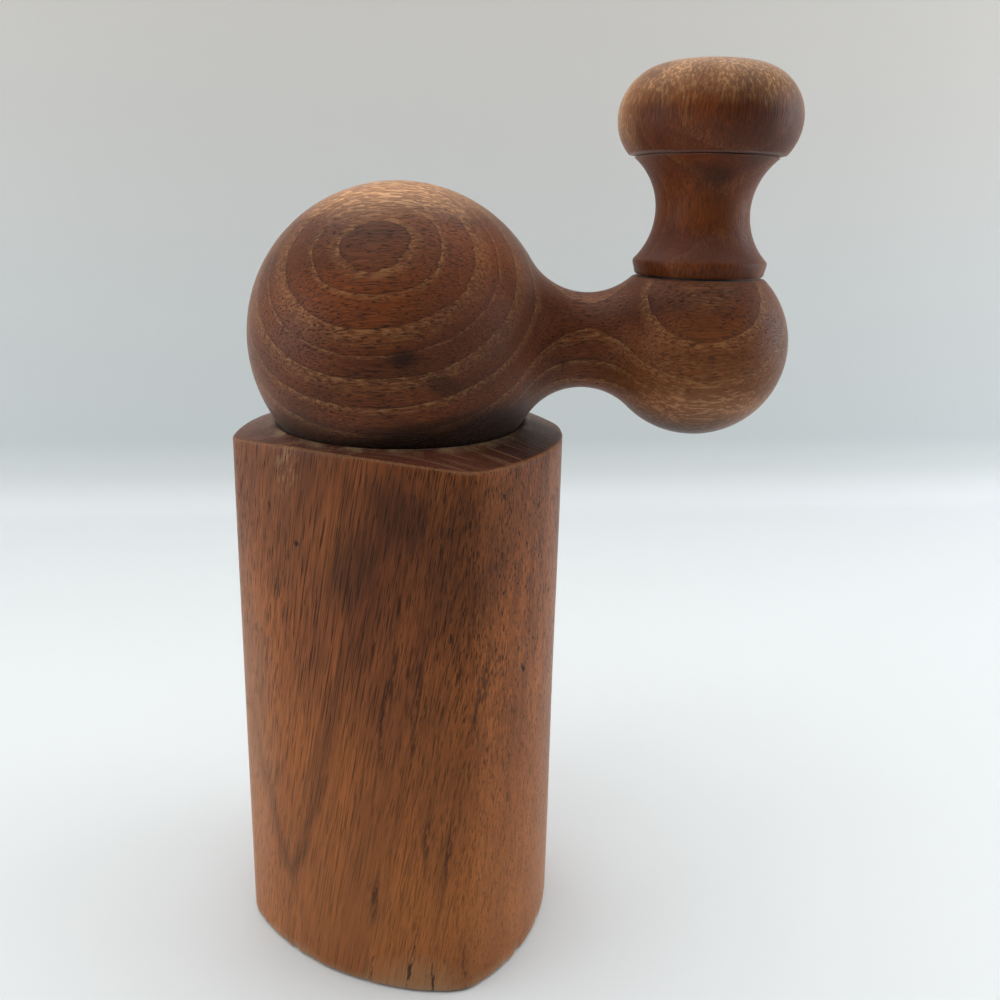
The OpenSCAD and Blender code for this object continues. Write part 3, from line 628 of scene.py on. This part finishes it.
def crank_marks(tree, place, ragged, flecks, colour):
    """Painted shade with dirt where the ball meets the crown and on its lower front, painted shade on a greyer
    right side, a painted highlight on the top, and painted floor light on the arm and under the small ball.
    """
    axes = add(tree, "SeparateXYZ", {"Vector": ragged})
    # Painted shade, with dirt: the ball is darker just above the crown's lip
    seam_shade_and_dirt = add(tree, "MapRange", {
        "Value": axes.outputs["Z"], "From Min": LIP_Z + 6 * MM, "From Max": LIP_Z + 0.5 * MM
    })
    # Painted shade, with dirt: dark spots on the ball's lower front, next to the crown
    lower_front_shade_and_smudges = [
        (spot(tree, ragged, (14.2, -23.3, 118.1), (3.6, 3.5, 2.0)), 0.8),
        (spot(tree, ragged, (18.4, -19.8, 113.8), (4.5, 4.0, 2.6)), 0.5),
        (spot(tree, ragged, (23.0, -11.0, 105.0), (10.0, 15.0, 6.5)), 0.85),
        (spot(tree, ragged, (13.0, -19.5, 103.5), (13.0, 10.0, 4.5)), 0.85)
    ]
    # Painted shade, with dirt: the ball's right side is darker and greyer
    grey = spot(tree, ragged, (22.0, -15.0, 122.0), (13.0, 15.0, 13.0))
    # Painted light from the floor below: a paler arm and a paler underside of the small ball, broken by flecks
    arm = spot(tree, ragged, (54.0, 7.0, 112.0), (21.0, 21.0, 13.0))
    under = spot(tree, ragged, (54.0, 8.0, 105.0), (17.0, 17.0, 9.0))
    # Painted highlight on the ball's top, broken by the wood's pale flecks
    top_highlight = spot(tree, ragged, (1.0, -7.0, 145.5), (27.0, 19.0, 9.0), (0, 0, 0.5))
    flecked = add(tree, "Math", {0: flecks, 1: 0.65, 2: 0.35}, operation="MULTIPLY_ADD")
    top_highlight = add(tree, "Math", {0: top_highlight, 1: flecked}, operation="MULTIPLY")
    under = add(tree, "Math", {0: under, 1: flecked}, operation="MULTIPLY")
    arm = add(tree, "Math", {0: arm, 1: flecked}, operation="MULTIPLY")
    # Painted floor light on the arm and under the small ball
    colour = stain(tree, colour, "#8a6038", [(arm, 0.5)])
    colour = stain(tree, colour, "#b98662", [(under, 0.75)])
    # Painted highlight on the ball's top
    colour = stain(tree, colour, "#d8a577", [(top_highlight, 0.9)])
    # Painted shade, with dirt, on the ball's right side
    colour = stain(tree, colour, "#3a2620", [(grey, 0.4)])
    # Painted shade with dirt where the ball meets the crown and on its lower front
    colour = stain(tree, colour, "#1c100b", [(seam_shade_and_dirt, 0.9)] + lower_front_shade_and_smudges)
    return colour, 0.0


def vee_line(tree, ragged, apex):
    """A soft V of late wood on the front, open upwards: height 1.2 * |x| ** 1.4 over its apex, in mm."""
    local = add(tree, "Mapping", {
        "Vector": ragged, "Location": [v * MM for v in apex], "Scale": (MM, MM, MM)
    }, vector_type="TEXTURE")
    axes = add(tree, "SeparateXYZ", {"Vector": local})
    aside = add(tree, "Math", {0: axes.outputs["X"]}, operation="ABSOLUTE")
    rise = add(tree, "Math", {0: aside, 1: 1.4}, operation="POWER")
    off = add(tree, "Math", {0: rise, 1: 1.2}, operation="MULTIPLY")
    off = add(tree, "Math", {0: off, 1: axes.outputs["Z"]}, operation="SUBTRACT")
    steep = add(tree, "Math", {0: aside, 1: 0.4}, operation="POWER")
    steep = add(tree, "Math", {0: steep, 1: 1.6, 2: 1.0}, operation="MULTIPLY_ADD")
    off = add(tree, "Math", {0: off, 1: steep}, operation="DIVIDE")
    off = add(tree, "Math", {0: off}, operation="ABSOLUTE")
    line = add(tree, "MapRange", {"Value": off, "From Min": 1.9, "From Max": 0.2})
    reach = spot(tree, ragged, (-6.0, -24.8, 40.0), (22.0, 8.0, 50.0))
    return add(tree, "Math", {0: line, 1: reach}, operation="MULTIPLY")


def block_marks(tree, place, ragged, flecks, colour):
    """A dark V of late wood, streaks, stains, painted floor light towards the foot, a darker upper front, painted
    sheen on the lower left, a crown made darker as end grain and by painted shade, worn edges, a scored crown,
    cracks at the foot and pits.
    """
    axes = add(tree, "SeparateXYZ", {"Vector": ragged})
    flat = add(tree, "VectorMath", {0: ragged, 1: (1.0, 1.0, 0.0)}, operation="MULTIPLY")
    radius = add(tree, "VectorMath", {0: flat}, operation="LENGTH")
    lip = add(tree, "MapRange", {
        "Value": radius, "From Min": LIP_R + 2.2 * MM, "From Max": LIP_R + 0.2 * MM
    })
    crown = add(tree, "MapRange", {
        "Value": axes.outputs["Z"], "From Min": LIP_Z - 3.4 * MM, "From Max": LIP_Z - 1.2 * MM
    })
    worn_lip = add(tree, "Math", {0: lip, 1: crown}, operation="MULTIPLY")
    patchy = add(tree, "TexNoise", {
        "Vector": place, "Scale": 1 / (3.5 * MM), "Detail": 3.0, "Roughness": 0.6
    })
    patchy = add(tree, "MapRange", {"Value": patchy, "From Min": 0.4, "From Max": 0.6})
    worn_lip = add(tree, "Math", {0: worn_lip, 1: patchy}, operation="MULTIPLY")
    foot = add(tree, "MapRange", {
        "Value": axes.outputs["Z"], "From Min": 2.6 * MM, "From Max": 0.4 * MM
    })
    facing = add(tree, "SeparateXYZ", {"Vector": add(tree, "NewGeometry").outputs["Normal"]})
    top_face = add(tree, "MapRange", {"Value": facing.outputs["Z"], "From Min": 0.8, "From Max": 0.9})
    rim = add(tree, "ValToRGB", {"Fac": facing.outputs["Z"]}, [(0.15, 0), (0.35, 1), (0.75, 1), (0.88, 0)])
    # Painted shade on the crown under the ball's right side
    shaded = add(tree, "Math", {
        0: spot(tree, ragged, (24.0, -3.0, 101.0), (13.0, 16.0, 6.0)), 1: top_face
    }, operation="MULTIPLY")
    scored = add(tree, "Mapping", {
        "Vector": place, "Rotation": (0, 0, 0.24), "Scale": (12 * MM, 0.6 * MM, 12 * MM)
    }, vector_type="TEXTURE")
    scores = add(tree, "ValToRGB", {
        "Fac": add(tree, "TexNoise", {"Vector": scored, "Scale": 1.0, "Detail": 1.0})
    }, [(0.58, 0), (0.68, 1)])
    scores = add(tree, "Math", {0: scores, 1: top_face}, operation="MULTIPLY")
    # Painted light from the floor, with the wood's own paler tone: lighter and more orange towards the foot
    low_floor_light_and_tone = add(tree, "MapRange", {
        "Value": axes.outputs["Z"], "From Min": 75 * MM, "From Max": 15 * MM
    })
    vee = vee_line(tree, ragged, (-10.8, -24.2, 18.5))
    blots = [
        (spot(tree, ragged, (4.1, -25.2, 82.0), (5.0, 6.0, 10.0), (0, 0.35, 0)), 0.5),
        (spot(tree, ragged, (13.4, -23.6, 92.0), (9.0, 6.0, 7.0), (0, 0.7, 0)), 0.45),
        (spot(tree, ragged, (23.0, -18.0, 86.0), (12.0, 12.0, 22.0)), 0.5)
    ]
    broken = add(tree, "Math", {0: flecks, 1: -0.75, 2: 1.0}, operation="MULTIPLY_ADD")
    streaks = [
        (add(tree, "Math", {
            0: spot(tree, ragged, (x, y, z), (wide, 3.0, high), (0, 0.12, 0)), 1: broken
        }, operation="MULTIPLY"), 0.7)
        for x, y, z, wide, high in (
            (8.0, -24.7, 19.0, 1.2, 7.0), (17.8, -22.0, 32.0, 0.8, 8.0), (15.6, -22.8, 58.0, 0.7, 16.0),
            (25.2, -17.2, 60.0, 0.7, 18.0), (10.1, -24.3, 57.0, 0.6, 16.0), (20.7, -20.8, 29.0, 0.6, 8.0)
        )
    ]
    pits = [
        (spot(tree, place, (-6.2, -24.9, 84.9), (0.75, 2.0, 0.75)), 0.9),
        (spot(tree, place, (28.9, -8.1, 61.6), (2.0, 0.7, 1.3), (0.5, 0, 0)), 0.9)
    ]
    cracks = [
        (spot(tree, ragged, (x, y, height / 3), (0.36, 0.5, height), (0, lean, 0)), 0.85)
        for x, y, height, lean in (
            (6.9, -24.9, 10.0, 0.15), (14.3, -23.2, 14.0, 0.11), (18.5, -21.8, 9.0, 0.06),
            (23.9, -18.9, 9.0, 0.0)
        )
    ]
    greyed = spot(tree, ragged, (16.0, -22.5, 1.0), (13.0, 9.0, 8.0))
    torn = spot(tree, ragged, (-7.9, -24.7, 98.0), (4.0, 4.0, 7.0), (0, 0.1, 0))
    torn = add(tree, "Math", {0: torn, 1: flecks}, operation="MULTIPLY")
    # Painted sheen on the block's lower left, paler and greyer
    left = spot(tree, ragged, (-23.0, -19.0, 45.0), (13.0, 9.0, 48.0))
    # Darker over the upper front
    darkened = spot(tree, ragged, (-3.0, -25.0, 92.0), (30.0, 16.0, 28.0))
    # Painted floor light and paler tone towards the foot
    colour = stain(tree, colour, "#ad6c38", [(low_floor_light_and_tone, 0.36)])
    colour = stain(tree, colour, "#4a2917", [(darkened, 0.38)])
    # Painted sheen on the lower left
    colour = stain(tree, colour, "#b58a6c", [(left, 0.3)])
    colour = stain(tree, colour, "#2c1911", [(vee, 0.5)] + blots + streaks)
    # The crown made darker: partly its end grain, partly painted shade under the ball
    colour = stain(tree, colour, "#43211a", [(top_face, 0.75)])
    # Painted shade under the ball
    colour = stain(tree, colour, "#1e0a04", [(shaded, 0.8)])
    colour = stain(tree, colour, "#8f6a50", [(scores, 0.3)])
    worn = [(worn_lip, 0.6), (foot, 0.4), (greyed, 0.3), (rim, 0.15), (torn, 0.34)]
    colour = stain(tree, colour, "#a58a68", worn)
    colour = stain(tree, colour, "#170d08", pits + cracks)
    dents = 0.0
    for mask, strength in pits + cracks:
        dents = add(tree, "Math", {0: mask, 1: -3.0, 2: dents}, operation="MULTIPLY_ADD")
    return colour, dents


def knob_marks(tree, place, ragged, flecks, colour):
    """Handling wear in levels: purple flare and cap edge and orange waist, with a painted highlight on the cap's
    top and painted light on its left side.
    """
    axes = add(tree, "SeparateXYZ", {"Vector": ragged})
    height = add(tree, "MapRange", {
        "Value": axes.outputs["Z"], "From Min": FOOT_Z, "From Max": knob_high.z
    })
    purple = add(tree, "ValToRGB", {"Fac": height}, [
        (0, 0.1), (0.065, 0.1), (0.08, 0.9), (0.18, 0.8), (0.24, 0.1), (0.4, 0.1), (0.47, 0.5), (0.54, 0.3),
        (0.57, 0.7), (0.66, 0.6), (0.74, 0)
    ])
    orange = add(tree, "ValToRGB", {"Fac": height}, [(0.2, 0), (0.26, 1), (0.38, 1), (0.46, 0)])
    # Painted highlight on the cap's top, broken into patches and flecks
    cap_highlight = add(tree, "ValToRGB", {"Fac": height}, [(0.74, 0), (0.88, 0.7), (1, 1)])
    # Painted light on the cap's left side
    left = spot(tree, ragged, tuple(knob_axis / MM + Vector((-13.0, -6.0, 27.0))), (8.0, 9.0, 9.0))
    patchy = add(tree, "TexNoise", {"Vector": place, "Scale": 1 / (7 * MM), "Detail": 4.0, "Roughness": 0.6})
    patchy = add(tree, "MapRange", {
        "Value": patchy, "From Min": 0.4, "From Max": 0.6, "To Min": 0.5, "To Max": 1.0
    })
    flecked = add(tree, "Math", {0: flecks, 1: 0.6, 2: 0.4}, operation="MULTIPLY_ADD")
    patchy = add(tree, "Math", {0: patchy, 1: flecked}, operation="MULTIPLY")
    cap_highlight = add(tree, "Math", {0: cap_highlight, 1: patchy}, operation="MULTIPLY")
    left = add(tree, "Math", {0: left, 1: patchy}, operation="MULTIPLY")
    colour = stain(tree, colour, "#553229", [(purple, 0.55)])
    colour = stain(tree, colour, "#743c17", [(orange, 0.2)])
    smudge = tuple(knob_axis / MM + Vector((4.0, -9.4, 16.6)))
    thumbed = spot(tree, ragged, smudge, (5.0, 4.0, 3.2))
    # Painted highlight on the cap's top and painted light on its left side
    colour = stain(tree, colour, "#cb9c6c", [(cap_highlight, 0.85), (left, 0.75)])
    colour = stain(tree, colour, "#22120c", [(thumbed, 0.55)])
    return colour, 0.0


ARM_WAY = Vector((math.cos(CRANK_TURN), math.sin(CRANK_TURN), 0))

# Rings of the crank: each one's radius about the heart in mm and its share of early wood
CRANK_RINGS = [
    (69.0, 0.05), (70.2, 0.4), (71.7, 0.2), (74.3, 0.85), (77.2, 0.15), (80.2, 0.6), (84.7, 0.3), (89.6, 0.5),
    (93.0, 0.3), (96.7, 0.6), (100.7, 0.3), (105.7, 0.5), (111.7, 0.4), (117.7, 0.5), (126.0, 0.3)
]

# Tones are pale band, mid brown, dark brown and pore. Turned across its rings, the crank shows them as loops
crank_teak = teak(
    "oiled_turned_teak_crank", fibres=ARM_WAY + Vector((0.0, 0.0, 0.04)), outwards=(0.222, -0.753, 0.62),
    centre=(0, 0, BALL_Z), heart=97.0, sway=1.0, rings=CRANK_RINGS, pore_size=(0.26, 1.6),
    tones=("#a87b50", "#703b1e", "#4e2915", "#251108"), weight=(0.38, 0.4, 0.2, 0.7), seed=1.0,
    marks=crank_marks
)

# The planed block shows long upright pores that lean a little, with no pale bands
block_teak = teak(
    "oiled_planed_teak_block", fibres=(0.18, 0.0, 1.0), outwards=(0.9, -0.45, 0), centre=(0, 0, 0),
    heart=-300.0, sway=4.0, rings=[(266.0 + 7 * i, 0.3) for i in range(11)], pore_size=(0.24, 9.0),
    tones=("#b3855c", "#97572b", "#713e22", "#29150b"), weight=(0.0, 0.25, 0.5, 0.8), seed=2.0,
    marks=block_marks
)

# The knob is darker and smoother from handling
knob_teak = teak(
    "oiled_turned_teak_knob", fibres=(0.03, 0.02, 1.0), outwards=(0.5, -0.8, 0.0), centre=tuple(knob_axis),
    heart=-35.0, sway=5.0, rings=[(16.0 + 4.5 * i, 0.3) for i in range(10)], pore_size=(0.24, 2.5),
    tones=("#b27f50", "#763c18", "#46200e", "#2a140a"), weight=(0.15, 0.15, 0.4, 0.45), seed=3.0,
    marks=knob_marks
)

# Metals: bright stamped plate, grey ground burr, shaft with long drawn lines, dull screws made dark as painted
# shade for the washer in the gap under the knob, warm brass
plate_steel = metal("stamped_nickel_plated_steel", "#b8b6b0", 0.34, 0.25, (12, 1, 1))
burr_steel = metal("hardened_ground_burr_steel", "#8f8d8a", 0.4, 0.2, (1, 1, 6))
shaft_steel = metal("cold_drawn_steel", "#aaa9a6", 0.3, 0.2, (1, 1, 30))
# Dull zinc, darker than plain zinc: painted shade for the washer in the gap under the knob
screw_steel = metal("dulled_zinc_plated_screw_steel", "#55504a", 0.55, 0.2, (1, 1, 1))
dull_brass = metal("turned_dull_brass", "#b58f4a", 0.36, 0.2, (1, 1, 8))
METALS = {
    "plate_steel": plate_steel, "burr_steel": burr_steel, "shaft_steel": shaft_steel,
    "screw_steel": screw_steel, "brass": dull_brass
}

# Wooden pieces stand for their solids
for piece, node, body, slot, material in (
    (make_block(), "body_block", "mill_body", "teak_body", block_teak),
    (make_crank(), "crank_head", "head", "teak_crank", crank_teak),
    (make_knob(), "crank_knob", "knob", "teak_knob", knob_teak),
):
    piece.data.materials.clear()
    piece.data.materials.append(material)
    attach(piece, body)
    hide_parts(node)

# The spring rises with the cone
spring = make_spring()
spring.data.materials.append(shaft_steel)
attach(spring, "drive")
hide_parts("return_spring")
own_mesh(spring)

# Metal solids keep their shape and get their finish
for entry in frame["record"]["subparts"]:
    if entry["material_slot"] in METALS:
        solid = frame["nodes"][entry["node"]]
        solid.data.materials.clear()
        solid.data.materials.append(METALS[entry["material_slot"]])


# Stage: one pale sheet that lies flat and sweeps up behind the mill
CAMERA_TURN = math.radians(29.61)


def make_stage():
    """The sheet and its matte paper, in metres: paler on the floor, with painted shade making it darker, greyer
    and warmer up the wall.
    """
    half_width = 1.2
    front = -1.0
    sweep_from = 0.23
    sweep_r = 0.03
    wall_top = 0.42
    bm = bmesh.new()
    line = [(front, 0.0)] + arc((sweep_from, sweep_r), sweep_r, -90, 0, 24)
    line += [(sweep_from + sweep_r, wall_top)]
    verts = [bm.verts.new((-half_width, y, z)) for y, z in line]
    edges = [bm.edges.new(pair) for pair in zip(verts, verts[1:])]
    made = bmesh.ops.extrude_edge_only(bm, edges=edges)["geom"]
    moved = [v for v in made if isinstance(v, bmesh.types.BMVert)]
    bmesh.ops.translate(bm, verts=moved, vec=(2 * half_width, 0, 0))
    bmesh.ops.transform(bm, matrix=Matrix.Rotation(CAMERA_TURN, 4, "Z"), verts=bm.verts)
    sheet = finish_mesh(bm, "studio_sheet", 80)
    material, tree, shader = start_material("matte_studio_paper")
    place = add(tree, "TexCoord").outputs["Object"]
    axes = add(tree, "SeparateXYZ", {"Vector": place})
    # Painted shade: the paper is darker where it turns up into the wall, then greyer and warmer higher up
    rise = add(tree, "MapRange", {
        "Value": axes.outputs["Z"], "From Min": 0.0, "From Max": 0.016
    }, interpolation_type="SMOOTHSTEP")
    aloft = add(tree, "MapRange", {"Value": axes.outputs["Z"], "From Min": 0.03, "From Max": 0.22})
    wall = add(tree, "Mix", {
        "Factor": aloft, "A": linear("#c6cdce"), "B": linear("#c9c8c4")
    }, data_type="RGBA")
    paper = add(tree, "Mix", {"Factor": rise, "A": linear("#d5dbde"), "B": wall}, data_type="RGBA")
    plug(tree, shader, {"Base Color": paper})
    shader.inputs["Roughness"].default_value = 0.9
    shader.inputs["Specular IOR Level"].default_value = 0.1
    sheet.data.materials.append(material)


make_stage()


# Light: a broad lamp above, a weak one on each side, and a room that is pale behind and dim in front
def make_lamp(name, at, size, watts, tint):
    """A soft box aimed at the mill, placed as seen from the camera's side."""
    lamp = bpy.data.lights.new(name, "AREA")
    lamp.shape = "RECTANGLE"
    lamp.size, lamp.size_y = size
    lamp.energy = watts
    lamp.color = linear(tint)[:3]
    holder = bpy.data.objects.new(name, lamp)
    aim = Vector((0, 0, 0.09))
    stand = Matrix.Rotation(CAMERA_TURN, 3, "Z") @ Vector(at)
    holder.location = stand
    holder.rotation_euler = (aim - stand).to_track_quat("-Z", "Y").to_euler()
    bpy.context.scene.collection.objects.link(holder)


make_lamp("top_light", (-0.02, 0.08, 0.9), (1.3, 1.2), 12.0, "#fffaf5")
make_lamp("left_light", (-0.7, -0.12, 0.18), (0.5, 0.4), 2.7, "#fbfbff")
make_lamp("right_light", (0.7, -0.02, 0.22), (0.5, 0.5), 3.0, "#fbfbff")

world = bpy.data.worlds.new("pale_room")
bpy.context.scene.world = world
world.use_nodes = True
room = world.node_tree
room.nodes.clear()
aim = add(room, "Mapping", {
    "Vector": add(room, "TexCoord").outputs["Generated"], "Rotation": (0, 0, -CAMERA_TURN)
})
way = add(room, "SeparateXYZ", {"Vector": aim})
glow = add(room, "MapRange", {
    "Value": way.outputs["Y"], "From Min": -0.8, "From Max": 0.1, "To Min": 0.03, "To Max": 0.4
})
ray = add(room, "LightPath")
seen = add(room, "Math", {
    0: ray.outputs["Is Camera Ray"], 1: ray.outputs["Is Glossy Ray"]
}, operation="MAXIMUM")
seen = add(room, "Math", {0: seen, 1: ray.outputs["Is Transmission Ray"]}, operation="MAXIMUM")
bright = add(room, "Mix", {"Factor": seen, "A": glow, "B": 0.7}, data_type="FLOAT")
sky = add(room, "Background", {"Color": linear("#e6ebee"), "Strength": bright})
add(room, "OutputWorld", {"Surface": sky})


# Camera, as the photograph was taken: close, a little above the ball and turned slightly right
def make_camera():
    """The camera fitted to the photograph's outline, with its sizes in pixels of a 1000 pixel frame."""
    focal_px = 864.0
    frame_px = 1000.0
    axis_px = 416.8
    distance, height = 158.9 * MM, 139.9 * MM
    heading = math.radians(6.65)
    pitch = math.radians(13.19)
    roll = math.radians(1.32)
    data = bpy.data.cameras.new("camera")
    data.sensor_width = 36.0
    data.lens = data.sensor_width * focal_px / frame_px
    data.shift_y = (axis_px - frame_px / 2) / frame_px
    data.clip_start = 0.01
    camera = bpy.data.objects.new("camera", data)
    look = Matrix.Rotation(CAMERA_TURN - heading, 4, "Z") @ Matrix.Rotation(math.pi / 2 - pitch, 4, "X")
    look = look @ Matrix.Rotation(roll, 4, "Z")
    stand = Matrix.Rotation(CAMERA_TURN, 4, "Z") @ Vector((0, -distance, height))
    camera.matrix_world = Matrix.Translation(stand) @ look
    bpy.context.scene.collection.objects.link(camera)
    bpy.context.scene.camera = camera


make_camera()
bpy.context.scene.view_settings.view_transform = "Standard"
